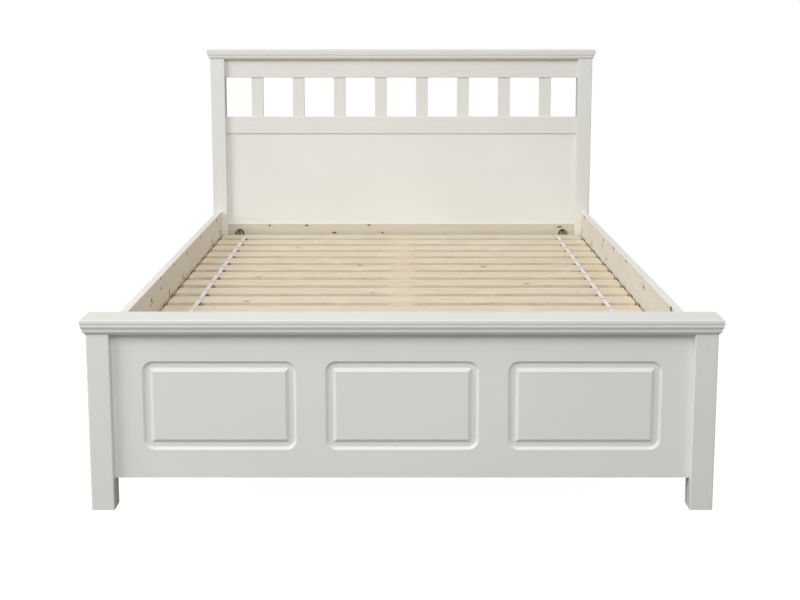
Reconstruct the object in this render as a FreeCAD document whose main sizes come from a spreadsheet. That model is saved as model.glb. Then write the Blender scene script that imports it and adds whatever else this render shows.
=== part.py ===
import FreeCAD, Part
import math
import os

import Sketcher

# A double bed in painted pine and MDF for a 1400 x 2000 mm mattress.
# Frame: +X to the right seen from the foot, +Y from foot to head, +Z up. The origin is on the floor,
# under the middle of the bed. All sizes are in millimetres.
SIZES = {
    # Whole bed: width over the posts, and side rail length between the posts
    "width": 1465,
    "rail_length": 2010,
    "head_height": 1035,
    "foot_height": 462,
    # Square posts with eased edges, on nylon glides let into their ends
    "post_side": 54,
    "post_edge": 3,
    "glide_radius": 13,
    "glide_height": 5,
    "glide_proud": 1,
    "glide_edge": 0.6,
    # Moulded caps: a fascia rounded at its foot, two reeds and a sloping foot, each set in a little
    "cap_thickness": 36,
    "cap_overhang": 11,
    "foot_cap_depth": 94,
    "cap_arris": 2.5,
    "cap_fascia": 11,
    "fascia_round": 4,
    "reed_height": 10.5,
    "reed_radius": 12,
    "reed_lean": 2,
    "cap_ledge": 1.5,
    # Side rails, set in a little from the posts' outer faces
    "rail_setback": 9.5,
    "rail_thickness": 22,
    "rail_height": 154,
    "rail_top": 408,
    "rail_edge": 2,
    # Crossrails between the posts, at the head and behind the foot panel
    "crossrail_thickness": 22,
    "crossrail_height": 106,
    "crossrail_stud_drop": 41,
    "head_crossrail_setback": 20,
    # Headboard
    "head_rail_setback": 18,
    "head_rail_thickness": 22,
    "head_rail_edge": 1.5,
    "upper_rail_height": 71,
    "middle_rail_top": 776,
    "middle_rail_height": 64,
    "head_panel_setback": 24,
    "head_panel_thickness": 12,
    "head_slat_width": 45,
    "head_slat_thickness": 12,
    "head_slat_end_gap": 100.2,
    "head_slat_edge": 1.5,
    "mortise_depth": 12,
    "tongue_depth": 8,
    # Foot panel with raised fields inside routed grooves
    "foot_panel_setback": 17,
    "foot_panel_thickness": 14,
    "foot_panel_bottom": 75,
    "field_end_margin": 96,
    "field_gap": 119,
    "field_edge_margin": 93.5,
    "groove_width": 25.5,
    "groove_depth": 5.5,
    "groove_outer_slope": 6.5,
    "groove_inner_slope": 8.5,
    # Ledgers, the centre beam with its hangers, and the centre leg
    "ledger_width": 35,
    "ledger_height": 30,
    "ledger_end_gap": 14,
    "beam_width": 68,
    "beam_height": 45,
    "beam_end_gap": 3,
    "hanger_plate": 2.5,
    "hanger_reach": 40,
    "hanger_ear": 26,
    "hanger_side_height": 34,
    "leg_side": 45,
    # Slatted base: slats with eased edges, linked by webbing tape stapled to each slat
    "slat_top": 318,
    "slat_thickness": 18,
    "slat_width": 81.4,
    "slat_end_gap": 8,
    "slat_edge": 2,
    "slat_head_gap": 1,
    "slat_foot_gap": 23.5,
    "tape_width": 15,
    "tape_thickness": 0.8,
    "tape_inset": 88,
    "tape_end": 15,
    "tape_lift": 0.3,
    "staple_crown": 13,
    "staple_wire": 1,
    "staple_leg": 12,
    # Fixings: studs with half-moon washers and nuts in round pockets, dowels and screws
    "stud_radius": 4,
    "stud_in_post": 26,
    "stud_past_nut": 4,
    "pocket_radius": 17.5,
    "pocket_inset": 44.5,
    "pocket_room": 0.5,
    "washer_flat": 6,
    "washer_thickness": 9,
    "nut_flats": 13,
    "nut_height": 6.5,
    "dowel_radius": 4,
    "dowel_length": 38,
    "dowel_edge": 0.8,
    "rail_dowel_spread": 45,
    "crossrail_dowel_spread": 18,
    "upper_rail_dowel_spread": 20,
    "middle_rail_dowel_spread": 18,
    "cap_dowel_spread": 450,
    "screw_radius": 2,
    "screw_head_radius": 4,
    "screw_head_height": 2,
    "screw_point": 5,
    "ledger_screw_length": 50,
    "ledger_screw_inset": 60,
    "hanger_screw_length": 18,
    "hanger_screw_spread": 12,
    # Clearance round what fits in a hole, groove or pocket, and how far cuts run past a face
    "fit_gap": 0.2,
    "overrun": 5,
}
HEAD_SLATS = 8
BED_SLATS = 16
FIELDS = 3
CAP_DOWELS = 3
LEDGER_SCREWS = 6
NUT_SIDES = 6
SIDES = {"left": -1, "right": 1}
ENDS = {"foot": -1, "head": 1}
WAYS = {
    "+X": FreeCAD.Vector(1, 0, 0),
    "-X": FreeCAD.Vector(-1, 0, 0),
    "+Y": FreeCAD.Vector(0, 1, 0),
    "-Y": FreeCAD.Vector(0, -1, 0),
    "+Z": FreeCAD.Vector(0, 0, 1),
    "-Z": FreeCAD.Vector(0, 0, -1),
}

# Places worked out from the sizes, as expressions on the sheet
POST_X = "(bed.width / 2 - bed.post_side / 2)"
POST_Y = "(bed.rail_length / 2 + bed.post_side / 2)"
POST_INNER_X = "(bed.width / 2 - bed.post_side)"
POST_INNER_Y = "(bed.rail_length / 2)"
POST_OUTER_Y = "(bed.rail_length / 2 + bed.post_side)"
POST_TOP = {
    "head": "(bed.head_height - bed.cap_thickness)",
    "foot": "(bed.foot_height - bed.cap_thickness)",
}
BETWEEN_POSTS = "(bed.width - 2 * bed.post_side)"
BETWEEN_GROOVES = f"({BETWEEN_POSTS} + 2 * bed.tongue_depth)"
RAIL_OUTER_X = "(bed.width / 2 - bed.rail_setback)"
RAIL_X = f"({RAIL_OUTER_X} - bed.rail_thickness / 2)"
RAIL_INNER_X = f"({RAIL_OUTER_X} - bed.rail_thickness)"
RAIL_Z = "(bed.rail_top - bed.rail_height / 2)"
RAIL_BOTTOM = "(bed.rail_top - bed.rail_height)"
CROSSRAIL_TOP = f"({RAIL_BOTTOM} + bed.crossrail_height)"
CROSSRAIL_STUD_Z = f"({CROSSRAIL_TOP} - bed.crossrail_stud_drop)"
CROSSRAIL_FACE = {
    "head": f"({POST_INNER_Y} + bed.head_crossrail_setback)",
    "foot": POST_INNER_Y,
}
HEAD_RAIL_Y = f"({POST_INNER_Y} + bed.head_rail_setback + bed.head_rail_thickness / 2)"
HEAD_SLAT_RUN = f"({BETWEEN_POSTS} - 2 * bed.head_slat_end_gap - bed.head_slat_width)"
HEAD_PANEL_Y = f"({POST_INNER_Y} + bed.head_panel_setback + bed.head_panel_thickness / 2)"
UPPER_RAIL_Z = f"({POST_TOP['head']} - bed.upper_rail_height / 2)"
UPPER_RAIL_BOTTOM = f"({POST_TOP['head']} - bed.upper_rail_height)"
MIDDLE_RAIL_Z = "(bed.middle_rail_top - bed.middle_rail_height / 2)"
MIDDLE_RAIL_BOTTOM = "(bed.middle_rail_top - bed.middle_rail_height)"
HEAD_CAP_DEPTH = "(bed.post_side + 2 * bed.cap_overhang)"
CAP_LENGTH = "(bed.width + 2 * bed.cap_overhang)"
CAP_FRONT = f"({POST_OUTER_Y} + bed.cap_overhang)"
FOOT_PANEL_FRONT = f"({POST_OUTER_Y} - bed.foot_panel_setback)"
FOOT_PANEL_Y = f"({FOOT_PANEL_FRONT} - bed.foot_panel_thickness / 2)"
FIELD_RUN = f"({BETWEEN_POSTS} - 2 * bed.field_end_margin + bed.field_gap)"
FIELD_PITCH = f"({FIELD_RUN} / {FIELDS})"
FIELD_WIDTH = f"({FIELD_PITCH} - bed.field_gap)"
FIELD_HEIGHT = f"({POST_TOP['foot']} - bed.foot_panel_bottom - 2 * bed.field_edge_margin)"
SLAT_LENGTH = f"(2 * {RAIL_INNER_X} - 2 * bed.slat_end_gap)"
SLAT_BOTTOM = "(bed.slat_top - bed.slat_thickness)"
LEDGER_X = f"({RAIL_INNER_X} - bed.ledger_width / 2)"
LEDGER_Z = f"({SLAT_BOTTOM} - bed.ledger_height / 2)"
LEDGER_LENGTH = "(bed.rail_length - 2 * bed.ledger_end_gap)"
BEAM_Z = f"({SLAT_BOTTOM} - bed.beam_height / 2)"
BEAM_BOTTOM = f"({SLAT_BOTTOM} - bed.beam_height)"
SLAT_RUN = "(bed.rail_length - bed.slat_width - bed.slat_head_gap - bed.slat_foot_gap)"
SLAT_FIRST_Y = f"({POST_INNER_Y} - bed.slat_head_gap - bed.slat_width / 2)"
STUD_HOLE = "(bed.stud_radius + bed.fit_gap)"
DOWEL_HOLE = "(bed.dowel_radius + bed.fit_gap)"
SCREW_HOLE = "(bed.screw_radius + bed.fit_gap)"

doc = FreeCAD.newDocument("double_bed")
sheet = doc.addObject("Spreadsheet::Sheet", "bed")
for row, (alias, size) in enumerate(SIZES.items(), start=1):
    sheet.set(f"A{row}", str(size))
    sheet.setAlias(f"A{row}", alias)
doc.recompute()

nodes = []
centres = {}
# Where each dowel and each stud's nut goes: its place, the way it points, and the way of its Y axis
dowel_places = []
nut_places = []


def value(expression):
    """The expression's present value in millimetres."""
    return float(sheet.evalExpression(expression))


def signed(sign, expression):
    return f"({sign} * {expression})"


def opposite(way):
    return {"+": "-", "-": "+"}[way[0]] + way[1]


def pushed(place, way, distance):
    """The place, moved along the way by the distance."""
    moved = list(place)
    axis = "XYZ".index(way[1])
    moved[axis] = f"({place[axis]} {way[0]} {distance})"
    return moved


def bind(thing, **expressions):
    for name, expression in expressions.items():
        thing.setExpression(name, expression)
    return thing


def move(thing, place):
    """Binds the three coordinates of the thing's Placement."""
    for axis, expression in zip("xyz", place):
        thing.setExpression(f"Placement.Base.{axis}", expression)
    return thing


def facing(way, up=None):
    """The turn that takes a solid's Z axis to the way, and its Y axis to up."""
    up = up or ("+Y" if way[1] != "Y" else "+Z")
    across = WAYS[up].cross(WAYS[way])
    turn = FreeCAD.Rotation(across, WAYS[up], WAYS[way], "ZYX")
    return FreeCAD.Placement(FreeCAD.Vector(), turn)


def node(thing, label):
    """Names the thing as one of the bed's sub-parts."""
    thing.Label = label
    nodes.append(thing)
    return thing


def new_body(label, centre, listed=True):
    """A body at its own centre, whose features are placed from there."""
    body = doc.addObject("PartDesign::Body", f"{label}_body")
    move(body, centre)
    centres[body.Name] = centre
    return node(body, label) if listed else body


def local(body, place):
    """The place in the bed's frame, seen from the body's own centre."""
    return [f"({point} - {middle})" for point, middle in zip(place, centres[body.Name])]


def block(body, kind, size, centre):
    """Adds or cuts a squared block, by its size and its centre in the bed's frame."""
    shape = body.newObject(f"PartDesign::{kind}Box", f"{body.Name}_{kind.lower()}")
    bind(shape, Length=size[0], Width=size[1], Height=size[2])
    corner = [f"({place} - ({length}) / 2)" for place, length in zip(centre, size)]
    return move(shape, local(body, corner))


def edges_along(shape, way):
    """The names of the shape's edges that run along the way."""
    names = []
    for number, edge in enumerate(shape.Edges, start=1):
        run = edge.tangentAt(edge.FirstParameter)
        if round(abs(run.dot(WAYS[way]))):
            names.append(f"Edge{number}")
    return names


def plank(label, size, centre, edge=None, along="+X"):
    """A squared timber with its long edges eased."""
    body = new_body(label, centre)
    blank = block(body, "Additive", size, centre)
    if edge:
        doc.recompute()
        eased = body.newObject("PartDesign::Fillet", f"{label}_eased")
        eased.Base = (blank, edges_along(blank.Shape, along))
        bind(eased, Radius=edge)
        doc.recompute()
    return body


def bore(body, radius, length, mouth, way):
    """Drills a round hole from its mouth on a face, into the timber along the way."""
    hole = body.newObject("PartDesign::SubtractiveCylinder", f"{body.Name}_bore")
    hole.Placement = facing(way)
    bind(hole, Radius=radius, Height=f"({length} + bed.overrun)")
    move(hole, local(body, pushed(mouth, opposite(way), "bed.overrun")))


def countersink(body, mouth, way):
    """Opens the mouth of a screw hole so that the head lies flush."""
    cone = body.newObject("PartDesign::SubtractiveCone", f"{body.Name}_countersink")
    cone.Placement = facing(way)
    bind(
        cone,
        Radius1="(bed.screw_head_radius + bed.fit_gap)",
        Radius2=SCREW_HOLE,
        Height="(bed.screw_head_height + bed.fit_gap)",
    )
    move(cone, local(body, mouth))


def trace(sketch, corners, arcs):
    """Draws a closed outline counter-clockwise through its corners and binds it to the sheet.

    arcs gives the radius of each run, by its number, that bulges outwards between two corners.
    """
    points = [FreeCAD.Vector(value(x), value(y), 0) for x, y in corners]
    first = sketch.GeometryCount
    for number, start in enumerate(points):
        end = points[(number + 1) % len(points)]
        if number in arcs:
            radius = value(arcs[number])
            chord = end - start
            rise = math.sqrt(radius**2 - (chord.Length / 2) ** 2)
            inwards = FreeCAD.Vector(-chord.y, chord.x, 0).normalize()
            centre = (start + end) / 2 + inwards * rise
            begin, finish = (math.atan2(p.y - centre.y, p.x - centre.x) for p in (start, end))
            if finish < begin:
                finish += 2 * math.pi
            circle = Part.Circle(centre, WAYS["+Z"], radius)
            sketch.addGeometry(Part.ArcOfCircle(circle, begin, finish))
        else:
            sketch.addGeometry(Part.LineSegment(start, end))
    for number, corner in enumerate(corners):
        here = first + number
        following = first + (number + 1) % len(corners)
        sketch.addConstraint(Sketcher.Constraint("Coincident", here, 2, following, 1))
        for kind, expression in zip(("DistanceX", "DistanceY"), corner):
            rule = Sketcher.Constraint(kind, -1, 1, here, 1, value(expression))
            sketch.setExpression(f"Constraints[{sketch.addConstraint(rule)}]", expression)
    for number, radius in arcs.items():
        rule = Sketcher.Constraint("Radius", first + number, value(radius))
        sketch.setExpression(f"Constraints[{sketch.addConstraint(rule)}]", radius)


def sketch_in(body, role, label):
    """A sketch on one of the body's own origin planes."""
    planes = {plane.Role: plane for plane in body.Origin.OriginFeatures}
    sketch = body.newObject("Sketcher::SketchObject", label)
    sketch.AttachmentSupport = (planes[role], [""])
    sketch.MapMode = "FlatFace"
    return sketch


def rectangle(centre_x, width, height):
    """Four corners, counter-clockwise, with the middle on the sketch's X axis."""
    left = f"({centre_x} - {width} / 2)"
    right = f"({centre_x} + {width} / 2)"
    low = f"(-{height} / 2)"
    high = f"({height} / 2)"
    return [(left, low), (right, low), (right, high), (left, high)]


def rounded_rectangle(centre_x, width, height, radius):
    """Eight corners, counter-clockwise, and the arcs that round them."""
    left, right = (f"({centre_x} {sign} {width} / 2)" for sign in "-+")
    low, high = (f"({sign}{height} / 2)" for sign in ("-", ""))
    corners = [
        (f"({left} + {radius})", low),
        (f"({right} - {radius})", low),
        (right, f"({low} + {radius})"),
        (right, f"({high} - {radius})"),
        (f"({right} - {radius})", high),
        (f"({left} + {radius})", high),
        (left, f"({high} - {radius})"),
        (left, f"({low} + {radius})"),
    ]
    return corners, {number: radius for number in range(1, len(corners), 2)}


def copies(label, master, places):
    """One node of like solids: the master repeated at each place, facing its way."""
    links = []
    for number, (place, way, up) in enumerate(places, start=1):
        link = doc.addObject("App::Link", f"{label}_{number}")
        link.LinkedObject = master
        link.Placement = facing(way, up)
        links.append(move(link, place))
    group = node(doc.addObject("Part::Compound", f"{label}_group"), label)
    group.Links = links


def dowel(one, other, mouth, way):
    """Fits a dowel across a joint face at the mouth, half in each piece; way is into the other."""
    depth = "(bed.dowel_length / 2 + bed.fit_gap)"
    bore(one, DOWEL_HOLE, depth, mouth, opposite(way))
    bore(other, DOWEL_HOLE, depth, mouth, way)
    dowel_places.append((pushed(mouth, opposite(way), "bed.dowel_length / 2"), way, None))


def bolted_joint(post, rail, mouth, way, spread, pocket_mouth, pocket_way, thickness):
    """Holds a rail's end to a post: a stud whose nut sits in a round pocket, between two dowels."""
    bore(post, STUD_HOLE, "(bed.stud_in_post + bed.fit_gap)", mouth, opposite(way))
    bore(rail, STUD_HOLE, "bed.pocket_inset", mouth, way)
    nut_place = pushed(mouth, way, "bed.pocket_inset")
    opening = list(nut_place)
    opening["XYZ".index(pocket_way[1])] = pocket_mouth
    depth = f"({thickness} / 2 + bed.nut_flats / 2 + bed.pocket_room)"
    bore(rail, "bed.pocket_radius", depth, opening, pocket_way)
    nut_places.append((nut_place, way, pocket_way))
    for sign in "+-":
        dowel(post, rail, pushed(mouth, f"{sign}Z", spread), way)


def make_posts():
    """Four square posts, each with a hole under it for a glide."""
    posts = {}
    for end, along in ENDS.items():
        height = f"({POST_TOP[end]} - bed.glide_proud)"
        for name, side in SIDES.items():
            x, y = signed(side, POST_X), signed(along, POST_Y)
            middle = (x, y, f"(bed.glide_proud + {height} / 2)")
            size = ("bed.post_side", "bed.post_side", height)
            post = plank(f"{end}_post_{name}", size, middle, "bed.post_edge", "+Z")
            hole = "(bed.glide_radius + bed.fit_gap)"
            depth = "(bed.glide_height - bed.glide_proud)"
            bore(post, hole, depth, (x, y, "bed.glide_proud"), "+Z")
            posts[end, name] = post
    return posts


def groove_posts(posts, end, centre_y, thickness, low, high):
    """Grooves in the inner faces of one end's posts, for the edges of its panel."""
    depth = "(bed.tongue_depth + bed.fit_gap)"
    for name, side in SIDES.items():
        x = signed(side, f"({POST_INNER_X} + {depth} / 2 - bed.overrun / 2)")
        centre = (x, centre_y, f"(({low} + {high}) / 2)")
        size = (f"{depth} + bed.overrun", f"{thickness} + 2 * bed.fit_gap", f"{high} - {low}")
        block(posts[end, name], "Subtractive", size, centre)


def make_side_rails(posts):
    """Two rails, each held to its posts by a stud and two dowels at both ends."""
    rails = {}
    for name, side in SIDES.items():
        x = signed(side, RAIL_X)
        size = ("bed.rail_thickness", "bed.rail_length", "bed.rail_height")
        rail = plank(f"side_rail_{name}", size, (x, "0", RAIL_Z), "bed.rail_edge", "+Y")
        for end, along in ENDS.items():
            bolted_joint(
                posts[end, name],
                rail,
                mouth=(x, signed(along, POST_INNER_Y), RAIL_Z),
                way="-Y" if along > 0 else "+Y",
                spread="bed.rail_dowel_spread",
                pocket_mouth=signed(side, RAIL_INNER_X),
                pocket_way="+X" if side > 0 else "-X",
                thickness="bed.rail_thickness",
            )
        rails[name] = rail
    return rails


def make_crossrails(posts):
    """Two pine crossrails between the posts, with their nut pockets open towards the mattress."""
    rails = {}
    for end, along in ENDS.items():
        face = signed(along, CROSSRAIL_FACE[end])
        depth = "bed.crossrail_thickness / 2"
        y = f"({face} + {depth})" if end == "head" else f"({face} - {depth})"
        size = (BETWEEN_POSTS, "bed.crossrail_thickness", "bed.crossrail_height")
        middle = ("0", y, f"({RAIL_BOTTOM} + bed.crossrail_height / 2)")
        rail = plank(f"{end}_crossrail", size, middle, "bed.rail_edge")
        for name, side in SIDES.items():
            bolted_joint(
                posts[end, name],
                rail,
                mouth=(signed(side, POST_INNER_X), y, CROSSRAIL_STUD_Z),
                way="-X" if side > 0 else "+X",
                spread="bed.crossrail_dowel_spread",
                pocket_mouth=face,
                pocket_way="+Y" if along > 0 else "-Y",
                thickness="bed.crossrail_thickness",
            )
        rails[end] = rail
    return rails


def make_head_rails(posts):
    """The upper and middle rails of the headboard, dowelled between its posts."""
    rails = {}
    for name, z in (("upper", UPPER_RAIL_Z), ("middle", MIDDLE_RAIL_Z)):
        size = (BETWEEN_POSTS, "bed.head_rail_thickness", f"bed.{name}_rail_height")
        middle = ("0", HEAD_RAIL_Y, z)
        rail = plank(f"head_{name}_rail", size, middle, "bed.head_rail_edge")
        for side_name, side in SIDES.items():
            way = "-X" if side > 0 else "+X"
            joint = (signed(side, POST_INNER_X), HEAD_RAIL_Y, z)
            for sign in "+-":
                mouth = pushed(joint, f"{sign}Z", f"bed.{name}_rail_dowel_spread")
                dowel(posts["head", side_name], rail, mouth, way)
        rails[name] = rail
    return rails


def make_head_slats(rails):
    """Flat upright slats, mortised into the rails above and below."""
    opening = f"({UPPER_RAIL_BOTTOM} - bed.middle_rail_top)"
    length = f"({opening} + 2 * bed.mortise_depth)"
    middle_z = f"(({UPPER_RAIL_BOTTOM} + bed.middle_rail_top) / 2)"
    mortise = (
        "bed.head_slat_width + 2 * bed.fit_gap",
        "bed.head_slat_thickness + 2 * bed.fit_gap",
        "2 * (bed.mortise_depth + bed.fit_gap)",
    )
    for number in range(HEAD_SLATS):
        share = number / (HEAD_SLATS - 1) - 1 / 2
        x = f"({share} * {HEAD_SLAT_RUN})"
        size = ("bed.head_slat_width", "bed.head_slat_thickness", length)
        label = f"head_slat_{number + 1}"
        plank(label, size, (x, HEAD_RAIL_Y, middle_z), "bed.head_slat_edge", "+Z")
        block(rails["upper"], "Subtractive", mortise, (x, HEAD_RAIL_Y, UPPER_RAIL_BOTTOM))
        block(rails["middle"], "Subtractive", mortise, (x, HEAD_RAIL_Y, "bed.middle_rail_top"))


def make_head_panel(posts, head_rails, crossrail):
    """A flat panel held in grooves on all four sides."""
    low = f"({CROSSRAIL_TOP} - bed.tongue_depth)"
    high = f"({MIDDLE_RAIL_BOTTOM} + bed.tongue_depth)"
    size = (BETWEEN_GROOVES, "bed.head_panel_thickness", f"({high} - {low})")
    plank("head_panel", size, ("0", HEAD_PANEL_Y, f"(({low} + {high}) / 2)"))
    groove_low = f"({low} - bed.fit_gap)"
    groove_high = f"({high} + bed.fit_gap)"
    groove_posts(
        posts, "head", HEAD_PANEL_Y, "bed.head_panel_thickness", groove_low, groove_high
    )
    groove = (
        f"{BETWEEN_POSTS} + bed.overrun",
        "bed.head_panel_thickness + 2 * bed.fit_gap",
        "2 * (bed.tongue_depth + bed.fit_gap)",
    )
    block(crossrail, "Subtractive", groove, ("0", HEAD_PANEL_Y, CROSSRAIL_TOP))
    block(head_rails["middle"], "Subtractive", groove, ("0", HEAD_PANEL_Y, MIDDLE_RAIL_BOTTOM))


def make_foot_panel(posts):
    """A panel with raised fields: tapered pockets, with a tapered field left standing in each."""
    thickness = "bed.foot_panel_thickness"
    low = "bed.foot_panel_bottom"
    high = f"({POST_TOP['foot']} + bed.tongue_depth)"
    field_z = f"(({low} + {POST_TOP['foot']}) / 2)"
    body = new_body("foot_panel", ("0", signed(-1, FOOT_PANEL_FRONT), field_z))
    size = (BETWEEN_GROOVES, thickness, f"({high} - {low})")
    back = signed(-1, FOOT_PANEL_Y)
    block(body, "Additive", size, ("0", back, f"(({low} + {high}) / 2)"))
    pockets = sketch_in(body, "XZ_Plane", "foot_panel_pockets")
    fields = sketch_in(body, "XZ_Plane", "foot_panel_fields")
    for number in range(FIELDS):
        x = f"({number - (FIELDS - 1) / 2} * {FIELD_PITCH})"
        width = f"({FIELD_WIDTH} + 2 * bed.groove_width)"
        height = f"({FIELD_HEIGHT} + 2 * bed.groove_width)"
        trace(pockets, *rounded_rectangle(x, width, height, "bed.groove_width"))
        trace(fields, rectangle(x, FIELD_WIDTH, FIELD_HEIGHT), {})
    sunk = body.newObject("PartDesign::Pocket", "foot_panel_sunk")
    sunk.Profile = pockets
    sunk.Reversed = False
    bind(
        sunk,
        Length="bed.groove_depth",
        TaperAngle="-atan(bed.groove_outer_slope / bed.groove_depth)",
    )
    raised = body.newObject("PartDesign::Pad", "foot_panel_raised")
    raised.Profile = fields
    raised.Reversed = True
    bind(
        raised,
        Length="bed.groove_depth",
        TaperAngle="atan(bed.groove_inner_slope / bed.groove_depth)",
    )
    groove_posts(
        posts,
        "foot",
        back,
        thickness,
        f"({low} - bed.fit_gap)",
        f"({POST_TOP['foot']} + bed.overrun)",
    )


def moulded_edge(face):
    """The corners of a moulded edge from the bottom up; face is the fascia's outermost place."""
    foot = "(bed.cap_thickness - bed.cap_fascia - 2 * bed.reed_height)"
    shoulder = f"({foot} + bed.reed_height)"
    fascia = f"({foot} + 2 * bed.reed_height)"
    rounding = "sqrt(2 * bed.fascia_round * bed.cap_ledge - bed.cap_ledge ^ 2)"
    insets = [
        ("(3 * bed.cap_ledge + 3 * bed.reed_lean)", "0"),
        ("(3 * bed.cap_ledge + 2 * bed.reed_lean)", foot),
        ("(2 * bed.cap_ledge + 2 * bed.reed_lean)", foot),
        ("(2 * bed.cap_ledge + bed.reed_lean)", shoulder),
        ("(bed.cap_ledge + bed.reed_lean)", shoulder),
        ("bed.cap_ledge", fascia),
        ("0", f"({fascia} + {rounding})"),
        ("0", "(bed.cap_thickness - bed.cap_arris)"),
        ("bed.cap_arris", "bed.cap_thickness"),
    ]
    return [(f"({face} - {inset})", height) for inset, height in insets]


def section(label, side, corners, arcs, length):
    """An upright outline, drawn with its X axis along the side, pulled out both ways."""
    sketch = doc.addObject("Sketcher::SketchObject", f"{label}_outline")
    turn = FreeCAD.Rotation(WAYS[side], WAYS["+Z"], WAYS[side].cross(WAYS["+Z"]), "XYZ")
    sketch.Placement = FreeCAD.Placement(FreeCAD.Vector(), turn)
    trace(sketch, corners, arcs)
    pulled = doc.addObject("Part::Extrusion", label)
    pulled.Base = sketch
    pulled.DirMode = "Normal"
    pulled.Solid = True
    pulled.Symmetric = True
    return bind(pulled, LengthFwd=f"{length} + 2 * bed.overrun")


def make_cap(end, depth):
    """A cap's blank, moulded along its front and both ends: two long sections, crossed."""
    arcs = {2: "bed.reed_radius", 4: "bed.reed_radius", 5: "bed.fascia_round", 7: "bed.cap_arris"}
    right = moulded_edge(f"({CAP_LENGTH} / 2)")
    left = [(f"(-{x})", z) for x, z in reversed(right)]
    last_run = len(right + left) - 2
    both = arcs | {last_run - number: radius for number, radius in arcs.items()}
    ends = section(f"{end}_cap_ends", "+X", right + left, both, depth)
    front = moulded_edge(f"({depth} / 2)")
    back = [
        (f"(bed.cap_arris - {depth} / 2)", "bed.cap_thickness"),
        (f"(-{depth} / 2)", "(bed.cap_thickness - bed.cap_arris)"),
        (f"(-{depth} / 2)", "0"),
    ]
    arcs = arcs | {len(front): "bed.cap_arris"}
    length = section(f"{end}_cap_length", "-Y", front + back, arcs, CAP_LENGTH)
    blank = doc.addObject("Part::Common", f"{end}_cap_blank")
    blank.Base = length
    blank.Tool = ends
    return blank


def cut_cap(end, blank, y, cutters):
    """Sets the cap on its posts, less its dowel holes and groove."""
    tools = doc.addObject("Part::MultiFuse", f"{end}_cap_holes")
    tools.Shapes = cutters
    cap = node(doc.addObject("Part::Cut", f"{end}_cap_cut"), f"{end}_cap")
    cap.Base = blank
    cap.Tool = tools
    move(cap, ("0", y, POST_TOP[end]))


def cap_hole(end, x, y):
    """A dowel hole up into the underside of a cap, in the cap's own frame."""
    hole = doc.addObject("Part::Cylinder", f"{end}_cap_hole")
    height = "(bed.dowel_length / 2 + bed.fit_gap + bed.overrun)"
    bind(hole, Radius=DOWEL_HOLE, Height=height)
    return move(hole, (x, y, "-bed.overrun"))


def cap_dowel(end, piece, x, y, cap_y):
    """A dowel that stands half in the piece and half in the cap; returns the cap's hole."""
    mouth = (x, y, POST_TOP[end])
    bore(piece, DOWEL_HOLE, "(bed.dowel_length / 2 + bed.fit_gap)", mouth, "-Z")
    dowel_places.append((pushed(mouth, "-Z", "bed.dowel_length / 2"), "+Z", None))
    return cap_hole(end, x, f"({y} - {cap_y})")


def make_caps(posts, upper_rail):
    """The head cap sits on posts and upper rail, the foot cap on posts and panel."""
    y = f"({CAP_FRONT} - {HEAD_CAP_DEPTH} / 2)"
    cutters = []
    for name, side in SIDES.items():
        post_place = signed(side, POST_X)
        cutters.append(cap_dowel("head", posts["head", name], post_place, POST_Y, y))
    for number in range(CAP_DOWELS):
        x = f"({number - (CAP_DOWELS - 1) / 2} * bed.cap_dowel_spread)"
        cutters.append(cap_dowel("head", upper_rail, x, HEAD_RAIL_Y, y))
    cut_cap("head", make_cap("head", HEAD_CAP_DEPTH), y, cutters)

    y = f"(bed.foot_cap_depth / 2 - {CAP_FRONT})"
    cutters = []
    for name, side in SIDES.items():
        post = posts["foot", name]
        cutters.append(cap_dowel("foot", post, signed(side, POST_X), f"(-{POST_Y})", y))
    groove = doc.addObject("Part::Box", "foot_cap_groove")
    length = f"({BETWEEN_GROOVES} + 2 * bed.fit_gap)"
    width = "(bed.foot_panel_thickness + 2 * bed.fit_gap)"
    height = "(bed.tongue_depth + bed.fit_gap + bed.overrun)"
    bind(groove, Length=length, Width=width, Height=height)
    groove_y = f"(-{FOOT_PANEL_Y} - {width} / 2 - {y})"
    cutters.append(move(groove, (f"(-{length} / 2)", groove_y, "-bed.overrun")))
    cut_cap("foot", make_cap("foot", "bed.foot_cap_depth"), y, cutters)


def make_ledgers(rails):
    """Strips screwed along the rails' inner faces, which carry the slats' ends."""
    screws = []
    for name, side in SIDES.items():
        size = ("bed.ledger_width", LEDGER_LENGTH, "bed.ledger_height")
        centre = (signed(side, LEDGER_X), "0", LEDGER_Z)
        ledger = plank(f"ledger_{name}", size, centre, "bed.rail_edge", "+Y")
        way = "+X" if side > 0 else "-X"
        for number in range(LEDGER_SCREWS):
            share = number / (LEDGER_SCREWS - 1) - 1 / 2
            y = f"({share} * ({LEDGER_LENGTH} - 2 * bed.ledger_screw_inset))"
            mouth = (signed(side, f"({LEDGER_X} - bed.ledger_width / 2)"), y, LEDGER_Z)
            for piece in (ledger, rails[name]):
                bore(piece, SCREW_HOLE, "bed.ledger_screw_length", mouth, way)
            countersink(ledger, mouth, way)
            screws.append((mouth, way, None))
    copies("ledger_screws", screw("ledger_screw", "bed.ledger_screw_length"), screws)


def screw(label, length):
    """A countersunk wood screw, with its head's face at its own origin."""
    body = new_body(label, ("0", "0", "0"), listed=False)
    outline = sketch_in(body, "XZ_Plane", f"{label}_outline")
    corners = [
        ("0", "0"),
        ("bed.screw_head_radius", "0"),
        ("bed.screw_radius", "bed.screw_head_height"),
        ("bed.screw_radius", f"({length} - bed.screw_point)"),
        ("0", length),
    ]
    trace(outline, corners, {})
    turned = body.newObject("PartDesign::Revolution", f"{label}_turned")
    turned.Profile = outline
    turned.ReferenceAxis = (outline, ["V_Axis"])
    return body


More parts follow.
